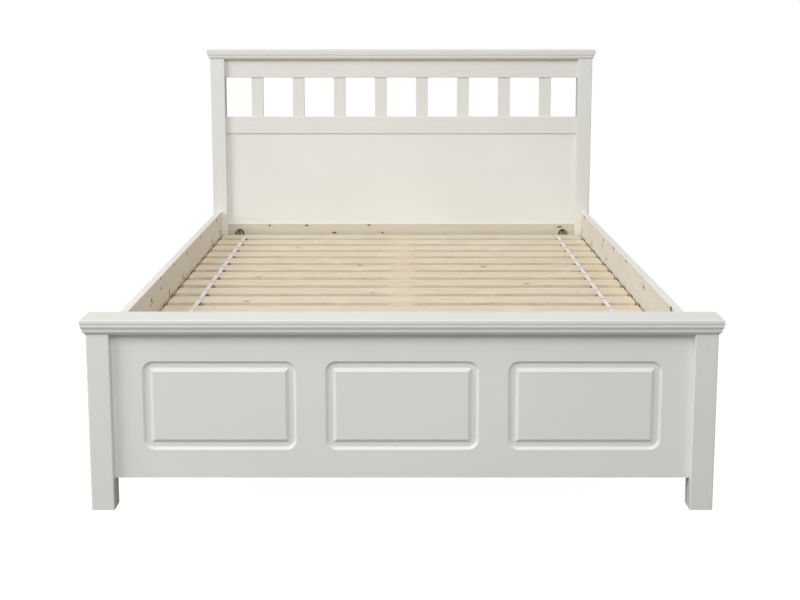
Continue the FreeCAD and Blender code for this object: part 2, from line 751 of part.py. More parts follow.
def make_centre_beam(crossrails):
    """The beam under the middle of the slats, its two hangers and its leg."""
    length = f"({CROSSRAIL_FACE['head']} + {CROSSRAIL_FACE['foot']} - 2 * bed.beam_end_gap)"
    beam_y = f"(({CROSSRAIL_FACE['head']} - {CROSSRAIL_FACE['foot']}) / 2)"
    size = ("bed.beam_width", length, "bed.beam_height")
    beam = plank("centre_beam", size, ("0", beam_y, BEAM_Z), "bed.rail_edge", "+Y")

    leg_height = f"({BEAM_BOTTOM} - bed.glide_proud)"
    leg_middle = ("0", "0", f"(bed.glide_proud + {leg_height} / 2)")
    size = ("bed.leg_side", "bed.leg_side", leg_height)
    leg = plank("centre_leg", size, leg_middle, "bed.rail_edge", "+Z")
    hole = "(bed.glide_radius + bed.fit_gap)"
    depth = "(bed.glide_height - bed.glide_proud)"
    bore(leg, hole, depth, ("0", "0", "bed.glide_proud"), "+Z")
    dowel(leg, beam, ("0", "0", BEAM_BOTTOM), "+Z")

    hanger, holes = make_hanger()
    hangers = []
    screws = []
    for end, along in ENDS.items():
        way = "-Y" if along > 0 else "+Y"
        face_y = signed(along, CROSSRAIL_FACE[end])
        hangers.append((("0", face_y, BEAM_Z), way, "+Z"))
        plate_y = signed(along, f"({CROSSRAIL_FACE[end]} - bed.hanger_plate)")
        for x, z in holes:
            mouth = (x, plate_y, f"({BEAM_Z} + {z})")
            into = opposite(way)
            bore(crossrails[end], SCREW_HOLE, "bed.hanger_screw_length", mouth, into)
            screws.append((mouth, into, None))
    copies("beam_hangers", hanger, hangers)
    copies("hanger_screws", screw("hanger_screw", "bed.hanger_screw_length"), screws)


def make_hanger():
    """A steel saddle: a plate with two ears, and a tray for the beam's end.

    It is made with the plate's back on its own XY plane, Y up, about the beam's middle.
    """
    body = new_body("beam_hanger", ("0", "0", "0"), listed=False)
    tray = "(bed.beam_width + 2 * bed.hanger_plate + 2 * bed.fit_gap)"
    height = "(bed.beam_height + bed.hanger_plate)"
    plate_z = "(bed.hanger_plate / 2)"
    size = (f"({tray} + 2 * bed.hanger_ear)", height, "bed.hanger_plate")
    block(body, "Additive", size, ("0", "(-bed.hanger_plate / 2)", plate_z))
    reach_z = "(bed.hanger_reach / 2)"
    floor_y = "(-bed.beam_height / 2 - bed.hanger_plate / 2)"
    size = (tray, "bed.hanger_plate", "bed.hanger_reach")
    block(body, "Additive", size, ("0", floor_y, reach_z))
    side_y = "(bed.hanger_side_height / 2 - bed.beam_height / 2 - bed.hanger_plate)"
    size = ("bed.hanger_plate", "bed.hanger_side_height", "bed.hanger_reach")
    holes = []
    for side in SIDES.values():
        x = signed(side, f"({tray} / 2 - bed.hanger_plate / 2)")
        block(body, "Additive", size, (x, side_y, reach_z))
        ear = signed(side, f"({tray} / 2 + bed.hanger_ear / 2)")
        for sign in "+-":
            spread = f"({sign}bed.hanger_screw_spread)"
            mouth = (ear, spread, "bed.hanger_plate")
            bore(body, SCREW_HOLE, "(bed.hanger_plate + bed.overrun)", mouth, "-Z")
            countersink(body, mouth, "-Z")
            holes.append((ear, spread))
    return body, holes


def make_slatted_base():
    """Pine slats across the bed, and the two tapes that keep them apart."""
    places = []
    for number in range(BED_SLATS):
        y = f"({SLAT_FIRST_Y} - {number} * {SLAT_RUN} / {BED_SLATS - 1})"
        size = (SLAT_LENGTH, "bed.slat_width", "bed.slat_thickness")
        centre = ("0", y, f"({SLAT_BOTTOM} + bed.slat_thickness / 2)")
        plank(f"bed_slat_{number + 1:02d}", size, centre, "bed.slat_edge")
        places.append(y)
    tape_z = "(bed.slat_top + bed.tape_lift + bed.tape_thickness / 2)"
    tape_top = "(bed.slat_top + bed.tape_lift + bed.tape_thickness)"
    tape_y = f"({SLAT_FIRST_Y} - {SLAT_RUN} / 2)"
    size = ("bed.tape_width", f"({SLAT_RUN} + 2 * bed.tape_end)", "bed.tape_thickness")
    staples = []
    for name, side in SIDES.items():
        x = signed(side, f"({SLAT_LENGTH} / 2 - bed.tape_inset)")
        plank(f"tape_{name}", size, (x, tape_y, tape_z))
        staples += [((x, y, tape_top), "+Z", None) for y in places]
    copies("tape_staples", make_staple(), staples)


def make_staple():
    """A wire staple: its crown lies on the tape and its legs go down into the slat."""
    body = new_body("tape_staple", ("0", "0", "0"), listed=False)
    crown = ("bed.staple_crown", "bed.staple_wire", "bed.staple_wire")
    block(body, "Additive", crown, ("0", "0", "(bed.staple_wire / 2)"))
    leg = ("bed.staple_wire", "bed.staple_wire", "(bed.staple_leg + bed.staple_wire)")
    leg_z = "(bed.staple_wire / 2 - bed.staple_leg / 2)"
    for side in SIDES.values():
        leg_x = signed(side, "(bed.staple_crown / 2 - bed.staple_wire / 2)")
        block(body, "Additive", leg, (leg_x, "0", leg_z))
    return body


def round_pin(label, radius, length, edge, both_ends):
    """A round pin from its own origin up its Z axis, with the rims of its ends eased."""
    body = new_body(label, ("0", "0", "0"), listed=False)
    pin = body.newObject("PartDesign::AdditiveCylinder", f"{label}_round")
    bind(pin, Radius=radius, Height=length)
    doc.recompute()
    rims = []
    for number, rim in enumerate(pin.Shape.Edges, start=1):
        if rim.isClosed() and (both_ends or rim.BoundBox.ZMax < value(length) / 2):
            rims.append(f"Edge{number}")
    eased = body.newObject("PartDesign::Chamfer", f"{label}_eased")
    eased.Base = (pin, rims)
    bind(eased, Size=edge)
    return body


def make_glides():
    """Nylon glides let into the ends of the posts and of the centre leg."""
    places = [(("0", "0", "0"), "+Z", None)]
    for side in SIDES.values():
        for along in ENDS.values():
            places.append(((signed(side, POST_X), signed(along, POST_Y), "0"), "+Z", None))
    glide = round_pin("glide", "bed.glide_radius", "bed.glide_height", "bed.glide_edge", False)
    copies("glides", glide, places)


def make_fixings():
    """Studs, half-moon washers, nuts and dowels, all from the joints noted so far."""
    nut_foot = "(-bed.washer_flat)"
    stud = doc.addObject("Part::Cylinder", "stud")
    reach = "(bed.stud_in_post + bed.pocket_inset)"
    beyond = "(bed.nut_height + bed.stud_past_nut - bed.washer_flat)"
    bind(stud, Radius="bed.stud_radius", Height=f"({reach} + {beyond})")
    stud_rod = doc.addObject("Part::Compound", "stud_rod")
    stud_rod.Links = [move(stud, ("0", "0", f"(-{reach})"))]
    copies("joint_studs", stud_rod, nut_places)

    nut = doc.addObject("Part::Prism", "nut_blank")
    nut.Polygon = NUT_SIDES
    bind(nut, Circumradius="(bed.nut_flats / sqrt(3))", Height="bed.nut_height")
    copies("stud_nuts", drilled("stud_nut", move(nut, ("0", "0", nut_foot))), nut_places)

    disc = doc.addObject("Part::Cylinder", "half_moon_disc")
    disc.Placement = facing("+Y")
    disc_radius = "(bed.pocket_radius - bed.pocket_room)"
    bind(disc, Radius=disc_radius, Height="bed.washer_thickness")
    move(disc, ("0", "(-bed.washer_thickness / 2)", "0"))
    spare = doc.addObject("Part::Box", "half_moon_spare")
    side = f"(2 * {disc_radius} + 2 * bed.overrun)"
    bind(spare, Length=side, Width=side, Height=side)
    move(spare, (f"(-{side} / 2)", f"(-{side} / 2)", nut_foot))
    moon = doc.addObject("Part::Cut", "half_moon_blank")
    moon.Base = disc
    moon.Tool = spare
    copies("half_moon_washers", drilled("half_moon_washer", moon), nut_places)

    pin = round_pin("dowel", "bed.dowel_radius", "bed.dowel_length", "bed.dowel_edge", True)
    copies("joint_dowels", pin, dowel_places)


def drilled(label, blank):
    """The blank with a hole for the stud along its Z axis."""
    hole = doc.addObject("Part::Cylinder", f"{label}_hole")
    length = "(2 * bed.pocket_radius + 2 * bed.overrun)"
    bind(hole, Radius=STUD_HOLE, Height=length)
    move(hole, ("0", "0", f"(-{length} / 2)"))
    cut = doc.addObject("Part::Cut", label)
    cut.Base = blank
    cut.Tool = hole
    return cut


def check_and_write():
    """Stops at a failed object or a bad shape, then writes one file for each sub-part."""
    doc.recompute()
    for thing in doc.Objects:
        if {"Invalid", "Error"} & set(thing.State):
            raise RuntimeError(f"{thing.Label} failed: {thing.State}")
    for thing in nodes:
        if thing.Shape.isNull() or not thing.Shape.isValid():
            raise RuntimeError(f"{thing.Label} has no valid shape")
    os.makedirs("parts", exist_ok=True)
    for thing in nodes:
        thing.Shape.exportStep(f"parts/{thing.Label}.step")
    print(f"wrote {len(nodes)} sub-parts")


posts = make_posts()
side_rails = make_side_rails(posts)
crossrails = make_crossrails(posts)
head_rails = make_head_rails(posts)
make_head_slats(head_rails)
make_head_panel(posts, head_rails, crossrails["head"])
make_foot_panel(posts)
make_caps(posts, head_rails["upper"])
make_ledgers(side_rails)
make_centre_beam(crossrails)
make_slatted_base()
make_glides()
make_fixings()
check_and_write()
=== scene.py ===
import math

import bpy
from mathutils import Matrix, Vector


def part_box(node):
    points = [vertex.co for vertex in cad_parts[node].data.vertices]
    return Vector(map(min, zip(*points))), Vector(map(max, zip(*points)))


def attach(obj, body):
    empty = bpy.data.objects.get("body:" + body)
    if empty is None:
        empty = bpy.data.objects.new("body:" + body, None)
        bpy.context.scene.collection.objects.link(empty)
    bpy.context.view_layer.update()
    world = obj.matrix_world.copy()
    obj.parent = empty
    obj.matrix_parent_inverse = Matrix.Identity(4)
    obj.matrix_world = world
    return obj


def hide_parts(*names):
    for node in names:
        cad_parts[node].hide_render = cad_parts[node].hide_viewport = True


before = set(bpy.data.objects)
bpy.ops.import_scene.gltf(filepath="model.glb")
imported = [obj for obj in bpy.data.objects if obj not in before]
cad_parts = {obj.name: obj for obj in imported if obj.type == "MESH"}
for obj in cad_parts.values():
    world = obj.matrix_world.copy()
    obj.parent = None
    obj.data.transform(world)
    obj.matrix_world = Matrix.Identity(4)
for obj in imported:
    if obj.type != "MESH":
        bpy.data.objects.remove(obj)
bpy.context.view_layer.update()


# The camera: a 58 mm lens a little over the head's cap, square to the foot of the bed and tipped down.
# Most of the framing comes from the tilt, and a small shift keeps the posts close to upright.
CAMERA_PLACE = (-0.005, -3.9497, 1.1402)
CAMERA_TILT = math.radians(8.775)
LENS = 57.766
SENSOR_WIDTH = 36
LENS_SHIFT = -0.1
NEAREST = 0.05
FARTHEST = 100
bpy.ops.object.camera_add(location=CAMERA_PLACE, rotation=(math.pi / 2 - CAMERA_TILT, 0, 0))
camera = bpy.context.object
camera.data.sensor_width = SENSOR_WIDTH
camera.data.lens = LENS
camera.data.shift_y = LENS_SHIFT
camera.data.clip_start = NEAREST
camera.data.clip_end = FARTHEST
bpy.context.scene.camera = camera
bpy.context.scene.view_settings.view_transform = "Standard"


# The studio: a white room whose floor shows only a faint shadow, with broad lights before the foot
# and on its left, which leave every face turned to the right in shade, and weaker ones elsewhere.
WHITE = (1, 1, 1, 1)
ROOM_TINT = (1, 0.995, 0.985, 1)
ROOM_LIGHT = 0.31
FLOOR_SIDE = 60
FLOOR_GLOW = 0.955
FLOOR_BOUNCE = 0.2
FLOOR_SHADOW = 0.16
LIGHT_AIM = Vector((0, 0.2, 0.3))
world = bpy.data.worlds.new("studio")
bpy.context.scene.world = world
world.use_nodes = True
backdrop = world.node_tree.nodes["Background"]
backdrop.inputs["Color"].default_value = WHITE
room = world.node_tree.nodes.new("ShaderNodeBackground")
room.inputs["Color"].default_value = ROOM_TINT
room.inputs["Strength"].default_value = ROOM_LIGHT
seen = world.node_tree.nodes.new("ShaderNodeLightPath")
either = world.node_tree.nodes.new("ShaderNodeMixShader")
world.node_tree.links.new(seen.outputs["Is Camera Ray"], either.inputs[0])
world.node_tree.links.new(room.outputs[0], either.inputs[1])
world.node_tree.links.new(backdrop.outputs[0], either.inputs[2])
world.node_tree.links.new(either.outputs[0], world.node_tree.nodes["World Output"].inputs[0])


class Socket:
    """An output of a node; arithmetic on it adds Math nodes to its material."""

    def __init__(self, finish, output):
        self.finish = finish
        self.output = output

    def math(self, operation, *others):
        sockets = dict(enumerate((self, *others)))
        return self.finish.add("Math", {"operation": operation}, sockets)

    def __add__(self, other):
        return self.math("ADD", other)

    def __radd__(self, other):
        return self.math("ADD", other)

    def __sub__(self, other):
        return self.math("SUBTRACT", other)

    def __rsub__(self, other):
        return self.finish.add("Math", {"operation": "SUBTRACT"}, {0: other, 1: self})

    def __mul__(self, other):
        return self.math("MULTIPLY", other)

    def __rmul__(self, other):
        return self.math("MULTIPLY", other)

    def __truediv__(self, other):
        return self.math("DIVIDE", other)

    def __pow__(self, other):
        return self.math("POWER", other)

    def __abs__(self):
        return self.math("ABSOLUTE")

    def sine(self):
        return self.math("SINE")

    def nearest_whole(self):
        return self.math("ROUND")

    def least(self, other):
        return self.math("MINIMUM", other)

    def most(self, other):
        return self.math("MAXIMUM", other)

    def between(self, low, high):
        """0 below low, 1 above high, and a smooth step from one to the other."""
        settings = {"interpolation_type": "SMOOTHSTEP"}
        return self.finish.add("MapRange", settings, {"Value": self, 1: low, 2: high})


class Finish:
    """A material, and the one way in which nodes are added to it."""

    def __init__(self, name):
        self.material = bpy.data.materials.new(name)
        self.material.use_nodes = True
        self.tree = self.material.node_tree
        self.shader = self.tree.nodes["Principled BSDF"]

    def add(self, kind, settings, sockets, output=0):
        made = self.tree.nodes.new(f"ShaderNode{kind}")
        for name, choice in settings.items():
            setattr(made, name, choice)
        self.feed(made, sockets)
        return Socket(self, made.outputs[output])

    def feed(self, node, sockets):
        for name, given in sockets.items():
            if isinstance(given, Socket):
                self.tree.links.new(given.output, node.inputs[name])
            else:
                node.inputs[name].default_value = given

    def place(self):
        """The x, y and z of the point on the object, in metres."""
        there = self.add("TexCoord", {}, {}, "Object")
        return [self.add("SeparateXYZ", {}, {0: there}, axis) for axis in range(3)]

    def vector(self, x, y, z):
        return self.add("CombineXYZ", {}, {0: x, 1: y, 2: z})

    def noise(self, vector, scale, detail=2, roughness=0.5):
        sockets = {"Vector": vector, "Scale": scale, "Detail": detail, "Roughness": roughness}
        return self.add("TexNoise", {}, sockets)

    def parts(self, tint):
        """The red, green and blue of a colour, as three numbers."""
        return [self.add("SeparateColor", {}, {0: tint}, part) for part in range(3)]

    def mix(self, share, one, other):
        return self.add("Mix", {"data_type": "RGBA"}, {0: share, 6: one, 7: other}, 2)

    def bump(self, height, distance, strength, under=None):
        sockets = {"Height": height, "Distance": distance, "Strength": strength}
        if under:
            sockets["Normal"] = under
        return self.add("Bump", {}, sockets)

    def give(self, *names):
        """Puts the material on the named pieces, in place of the one they came with."""
        for name in names:
            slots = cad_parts[name].data.materials
            slots.clear()
            slots.append(self.material)


bpy.ops.mesh.primitive_plane_add(size=FLOOR_SIDE)
floor = bpy.context.object
floor.name = "floor"
pale = Finish("pale_floor")
look = pale.add("LightPath", {}, {}, "Is Camera Ray")
shadow = pale.add("BsdfDiffuse", {}, {"Color": (FLOOR_SHADOW, FLOOR_SHADOW, FLOOR_SHADOW, 1)})
glow = pale.add("Emission", {}, {"Color": WHITE, "Strength": FLOOR_GLOW})
lit = pale.add("AddShader", {}, {0: shadow, 1: glow})
plain = pale.add("BsdfDiffuse", {}, {"Color": (FLOOR_BOUNCE, FLOOR_BOUNCE, FLOOR_BOUNCE, 1)})
shown = pale.add("MixShader", {}, {0: look, 1: plain, 2: lit})
pale.feed(pale.tree.nodes["Material Output"], {"Surface": shown})
floor.data.materials.append(pale.material)

for name, place, width, power in (
    ("front_light", (0, -5, 4.2), 3.0, 130),
    ("left_light", (-4.5, -2.5, 3.5), 3.0, 118),
    ("far_left_light", (-5, -3.5, 2.5), 4.0, 91),
    ("far_right_light", (5, -3.5, 2.5), 4.0, 18),
    ("head_right_light", (3.2, -0.3, 2.4), 2.5, 15),
    ("over_head_light", (0, 1.2, 3.8), 3.0, 25),
):
    bpy.ops.object.light_add(type="AREA", location=place)
    light = bpy.context.object
    light.name = name
    light.data.size = width
    light.data.energy = power
    aim = LIGHT_AIM - Vector(place)
    light.rotation_euler = aim.to_track_quat("-Z", "Y").to_euler()


# Painted timber: posts, caps, head rails and upright slats, in off-white satin lacquer on pine.
# The lacquer is sprayed, so the grain shows only as a faint relief along each piece.
def colour(red, green, blue):
    """A colour as it is measured on a screen, from 0 to 255, made linear."""
    linear = [
        share / 12.92 if share <= 0.04045 else ((share + 0.055) / 1.055) ** 2.4
        for share in (red / 255, green / 255, blue / 255)
    ]
    return (*linear, 1)


PAINT_PALE = colour(234, 234, 230)
PAINT_DEEP = colour(231, 231, 227)
PAINT_GLOSS = 0.35
GRAIN_ALONG = 6
GRAIN_ACROSS = 120
GRAIN_DEPTH = 0.00003
PEEL_FINENESS = 700
PEEL_DEPTH = 0.00002
POST_NAMES = [f"{end}_post_{side}" for end in ("head", "foot") for side in ("left", "right")]
HEAD_SLAT_COUNT = 8


def painted(name, along):
    finish = Finish(name)
    place = finish.place()
    stretched = [
        axis * (GRAIN_ALONG if number == along else GRAIN_ACROSS)
        for number, axis in enumerate(place)
    ]
    grain = finish.noise(finish.vector(*stretched), 1, 3, 0.55)
    whole = finish.vector(*place)
    cloud = finish.noise(whole, 4)
    peel = finish.noise(whole, PEEL_FINENESS, 1)
    tone = cloud * 0.6 + grain * 0.4
    relief = finish.bump(grain, GRAIN_DEPTH, 0.4)
    finish.feed(finish.shader, {
        "Base Color": finish.mix(tone.between(0.3, 0.7), PAINT_DEEP, PAINT_PALE),
        "Roughness": 0.42 + 0.1 * grain,
        "Specular IOR Level": PAINT_GLOSS,
        "Normal": finish.bump(peel, PEEL_DEPTH, 0.4, relief),
    })
    return finish


upright = painted("lacquer_upright", 2)
upright.give(*POST_NAMES)
upright.give(*(f"head_slat_{number}" for number in range(1, HEAD_SLAT_COUNT + 1)))
crosswise = painted("lacquer_crosswise", 0)
crosswise.give("head_cap", "foot_cap", "head_upper_rail", "head_middle_rail")


# The two panels are fibreboard under the same lacquer, smoother than the timber round them.
# The spray leaves a fine peel on them and no grain.
PANEL_PALE = colour(238, 238, 234)
PANEL_DEEP = colour(235, 235, 231)
PANEL_PEEL_FINENESS = 520
PANEL_PEEL_DEPTH = 0.00005
panelled = Finish("lacquer_panel")
whole = panelled.vector(*panelled.place())
cloud = panelled.noise(whole, 3)
peel = panelled.noise(whole, PANEL_PEEL_FINENESS)
panelled.feed(panelled.shader, {
    "Base Color": panelled.mix(cloud.between(0.3, 0.7), PANEL_DEEP, PANEL_PALE),
    "Roughness": 0.43 + 0.1 * peel,
    "Specular IOR Level": PAINT_GLOSS,
    "Normal": panelled.bump(peel, PANEL_PEEL_DEPTH, 0.5),
})
panelled.give("head_panel", "foot_panel")


# The slats: bare planed pine with growth rings cut lengthwise, fine streaks and fibres, and small
# brown knots. Each slat is another board, with the tapes' shadow painted faintly on its sides below them.
PINE_PALE = colour(235, 221, 194)
PINE_ROSY = colour(238, 222, 205)
PINE_WARM = colour(230, 213, 178)
LATEWOOD = colour(221, 199, 162)
STREAK = colour(212, 186, 146)
FLECK_PALE = colour(248, 237, 214)
FLECK_DARK = colour(208, 186, 146)
FIBRE = colour(206, 180, 142)
KNOT_HALO = colour(212, 195, 167)
KNOT_HEARTS = (colour(126, 109, 85), colour(98, 80, 58))
SLAT_HEARTS = (colour(154, 118, 74), colour(122, 90, 52))
SLAT_WASH = (0.22, colour(219, 212, 202))
# The colour of the tapes' shadow, painted on the slats' sides.
TAPE_SHADOW_TINT = colour(98, 94, 70)
RING_WIDTH = 0.0058
PINE_RELIEF = 0.00016
PINE_GLOSS = 0.3
NO_KNOT = 50
STREWN_BAND = 0.07
STREWN_LEAST = 0.002
STREWN_SPREAD = 0.005
PITH_SPREAD = 0.16
PITH_DRIFT = 0.05
KNOT_SWELL = 0.007
SLAT_COUNT = 16
SLAT_KNOT_RUN = 0.6
SLAT_PITH = (0, 0.26)
# Where the tapes' shadow is painted: beside each tape, just below the slat tops.
TAPE_SHADOW_HALF = (0.0065, 0.0085)
TAPE_SHADOW_BELOW = (0.0012, 0.0018)
TAPE_SHADOW_SLOPE = 0.8
TAPE_SHADOW_SHARE = 0.57
LEFT_TAPE_SHADOW_SHIFT = 0.0035
RIGHT_TAPE_SHADOW_SHIFT = 0.001
RIGHT_TAPE_SHADOW_NARROWING = 0.003


def set_knots(along, across, knots):
    """How far the point is from the nearest knot, in that knot's own radius."""
    spot = along * 0 + NO_KNOT
    for knot_along, knot_across, half_length, half_height in knots:
        ahead = (along - knot_along) / half_length
        aside = (across - knot_across) / half_height
        spot = spot.least((ahead * ahead + aside * aside) ** 0.5)
    return spot


def strewn_knots(finish, along, across, number, run):
    """The same, for small knots strewn by chance, about one in each run of a board."""
    where = along / run + number * 17.31
    dots = {"voronoi_dimensions": "1D"}
    sockets = {"W": where, "Scale": 1, "Randomness": 0.9}
    nearest = finish.add("TexVoronoi", dots, sockets, "W")
    luck = finish.parts(finish.add("TexVoronoi", dots, sockets, "Color"))
    ahead = (where - nearest) * (run * 0.6)
    aside = across - (luck[0] - 0.5) * STREWN_BAND
    radius = STREWN_LEAST + STREWN_SPREAD * luck[1] * luck[1]
    missing = 1 - luck[2].between(0.35, 0.36)
    return (ahead * ahead + aside * aside) ** 0.5 / radius + missing * NO_KNOT


def pine(name, axes, pith, knots=(), run=None, board=None, wash=SLAT_WASH, hearts=KNOT_HEARTS):
    """Pine along the first of the axes, its rings about a pith, and the colour of its surface."""
    finish = Finish(name)
    place = finish.place()
    along, across, deep = (place[axis] for axis in axes)
    if board:
        first, pitch = board
        number = ((across - first) / pitch).nearest_whole()
        across = across - (number * pitch + first)
    else:
        number = across * 0
    chance = finish.parts(finish.add("TexWhiteNoise", {"noise_dimensions": "1D"}, {"W": number + 3.7}, 1))

    spot = set_knots(along, across, knots)
    if run:
        spot = spot.least(strewn_knots(finish, along, across, number, run))
    wobble = finish.noise(finish.vector(along, across, deep), 140)
    spot = spot + (wobble - 0.5) * 0.5
    knot = 1 - spot.between(0.7, 1.15)
    near = 1 - spot.between(0.8, 4.5)

    drift = finish.noise(finish.vector(along * 1.6, across * 4, deep * 4 + number * 3.1), 1)
    from_pith = across - pith[0] - (chance[0] - 0.5) * PITH_SPREAD + (drift - 0.5) * PITH_DRIFT
    depth = deep - pith[1] + (chance[1] - 0.5) * PITH_DRIFT + near * KNOT_SWELL
    ring = (from_pith * from_pith + depth * depth) ** 0.5
    count = ring / RING_WIDTH + (wobble - 0.5) * 0.2
    wave = (count * (2 * math.pi)).sine() * 0.5 + 0.5
    latewood = wave ** 2.4
    fibres = finish.noise(finish.vector(along * 9, across * 620, deep * 620), 1, 2, 0.6)
    streaks = finish.noise(finish.vector(along * 5, across * 170, deep * 60 + number * 5.3), 1, 3, 0.6)
    stain = finish.noise(finish.vector(along * 2.4, across * 14, deep * 9 + number * 1.7), 1)
    flecks = finish.noise(finish.vector(along * 10, across * 48, deep * 48 + number * 2.3), 1, 2, 0.65)

    paler = finish.mix(stain.between(0.35, 0.7), PINE_PALE, PINE_ROSY)
    board_tone = finish.mix(chance[2] * 0.6 + streaks.between(0.4, 0.8) * 0.4, paler, PINE_WARM)
    ring_share = latewood * (0.14 + 0.3 * stain.between(0.4, 0.75))
    rings = finish.mix(ring_share, board_tone, LATEWOOD)
    streaked = finish.mix(streaks.between(0.52, 0.8) * 0.35, rings, STREAK)
    flecked = finish.mix(flecks.between(0.52, 0.7) * 0.7, streaked, FLECK_PALE)
    darkened = finish.mix((1 - flecks.between(0.3, 0.45)) * 0.55, flecked, FLECK_DARK)
    combed = finish.mix(fibres.between(0.45, 0.8) * 0.16, darkened, FIBRE)
    wash_share, wash_tint = wash
    washed = finish.mix(wash_share, combed, wash_tint)
    haloed = finish.mix(near * near * 0.4, washed, KNOT_HALO)
    heart = finish.mix((spot * 14).sine() * 0.3 + 0.4, *hearts)
    shade = finish.mix(knot, haloed, heart)
    finish.feed(finish.shader, {
        "Base Color": shade,
        "Roughness": 0.62 + 0.12 * fibres - 0.04 * knot,
        "Specular IOR Level": PINE_GLOSS,
        "Normal": finish.bump(fibres + latewood * 0.6, PINE_RELIEF, 0.5),
    })
    return finish, shade


head_slat_low, slat_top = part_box("bed_slat_01")
foot_slat_low, foot_slat_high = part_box(f"bed_slat_{SLAT_COUNT}")
first_slat = (head_slat_low.y + slat_top.y) / 2
last_slat = (foot_slat_low.y + foot_slat_high.y) / 2
gap_count = SLAT_COUNT - 1
slat_pitch = (first_slat - last_slat) / gap_count
tape_low, tape_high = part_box("tape_right")
tape_x = (tape_low.x + tape_high.x) / 2
slat_boards = (last_slat, slat_pitch)
slat_pine, wood = pine(
    "pine_slats", (0, 1, 2), SLAT_PITH, run=SLAT_KNOT_RUN, board=slat_boards, hearts=SLAT_HEARTS
)
x, y, z = slat_pine.place()
# Painted shadow of the tapes: the slats' sides darken just below their tops beside each tape.
below = slat_top.z - z
from_left = abs(x + tape_x - LEFT_TAPE_SHADOW_SHIFT)
from_right = abs(x - tape_x - RIGHT_TAPE_SHADOW_SHIFT) + RIGHT_TAPE_SHADOW_NARROWING
beside = from_left.least(from_right) - below * TAPE_SHADOW_SLOPE
tape_shade = (1 - beside.between(*TAPE_SHADOW_HALF)) * below.between(*TAPE_SHADOW_BELOW)
slat_pine.feed(slat_pine.shader, {"Base Color": slat_pine.mix(tape_shade * TAPE_SHADOW_SHARE, wood, TAPE_SHADOW_TINT)})
slat_pine.give(*(f"bed_slat_{number:02d}" for number in range(1, SLAT_COUNT + 1)))


# The two crossrails: bare pine boards between the posts, greyer than the slats, with a painted highlight
# along the top edge. The bores for the nuts near their ends are pale in the middle, with painted shade
# round the rim where the bore's wall is in shadow.
CROSSRAIL_WASH = (0.75, colour(209, 205, 192))
# A painted highlight along the crossrails' top edge.
CROSSRAIL_HIGHLIGHT = colour(247, 238, 220)
BORE_PALE = colour(238, 224, 196)
# Painted shade on the bores' walls.
BORE_WALL_SHADE = colour(96, 76, 48)
CROSSRAIL_PITH_Z = 0.30
CROSSRAIL_PITH_Y = 1.06
HIGHLIGHT_HEIGHT = (0.003, 0.0022)
BORE_PLACE = (0.634, 0.319)
BORE_RIM = (0.0177, 0.0179)
WALL_SHADE_START = (0.009, 0.013)
BACK_SKIN = (0.002, 0.0015)
HEAD_KNOTS = (
    (-0.516, 0.351, 0.0055, 0.0035),
    (-0.371, 0.351, 0.0075, 0.0035),
    (-0.2625, 0.322, 0.009, 0.004),
    (-0.127, 0.352, 0.0065, 0.0035),
    (-0.074, 0.322, 0.0055, 0.003),
    (0.621, 0.345, 0.0105, 0.0035),
)
FOOT_KNOTS = (
    (-0.44, 0.287, 0.009, 0.006),
    (-0.12, 0.331, 0.008, 0.005),
    (0.23, 0.302, 0.010, 0.006),
    (0.55, 0.275, 0.007, 0.004),
)
for end, way, knots in (("head", 1, HEAD_KNOTS), ("foot", -1, FOOT_KNOTS)):
    name = f"{end}_crossrail"
    low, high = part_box(name)
    back = max(abs(low.y), abs(high.y))
    pith = (CROSSRAIL_PITH_Z, way * CROSSRAIL_PITH_Y)
    crossrail, wood = pine(f"pine_{name}", (0, 2, 1), pith, knots, wash=CROSSRAIL_WASH)
    x, y, z = crossrail.place()
    # Painted highlight: a pale band along the top edge, where the arris catches the light.
    highlight_z = [high.z - height for height in HIGHLIGHT_HEIGHT]
    highlighted = crossrail.mix(z.between(*highlight_z), wood, CROSSRAIL_HIGHLIGHT)
    from_bore = ((abs(x) - BORE_PLACE[0]) ** 2 + (z - BORE_PLACE[1]) ** 2) ** 0.5
    before_back = 1 - abs(y).between(*(back - skin for skin in BACK_SKIN))
    bored = (1 - from_bore.between(*BORE_RIM)) * before_back
    # Painted shade: the bore is dark round its wall and pale in the middle.
    bore_shade = crossrail.mix(from_bore.between(*WALL_SHADE_START), BORE_PALE, BORE_WALL_SHADE)
    crossrail.feed(crossrail.shader, {"Base Color": crossrail.mix(bored, highlighted, bore_shade)})
    crossrail.give(name)


# What carries the slats: a beam under their middle on one leg, and a ledger along each side rail.
# All are bare pine, the leg with its grain upright.
CARRIER_KNOT_RUN = 0.4
CARRIER_WASH = (0.6, colour(209, 198, 171))
CARRIER_PITH = (0, 0.2)
LEG_PITH = (0.05, 0.05)
lengthwise = pine("pine_lengthwise", (1, 0, 2), CARRIER_PITH, run=CARRIER_KNOT_RUN, wash=CARRIER_WASH)[0]
lengthwise.give("centre_beam", "ledger_left", "ledger_right")
leg = pine("pine_leg", (2, 0, 1), LEG_PITH, run=CARRIER_KNOT_RUN)[0]
leg.give("centre_leg")


# The side rails are pine, lacquered outside and on their edges, and left bare inside. Their lacquer is
# painted lighter than on the posts, standing in for the light on their top edges. The bare wood starts
# just over the inner arris and goes on into the nut pockets, with painted shade in the gaps between
# the slats just below their tops.
LEFT_WASH = (0.66, colour(227, 223, 211))
RIGHT_WASH = (0.66, colour(231, 232, 228))
# The rails' lacquer is painted lighter than the posts', standing in for light on their top edges.
RAIL_LACQUER_LIT_PALE = colour(248, 245, 240)
RAIL_LACQUER_LIT_DEEP = colour(245, 242, 236)
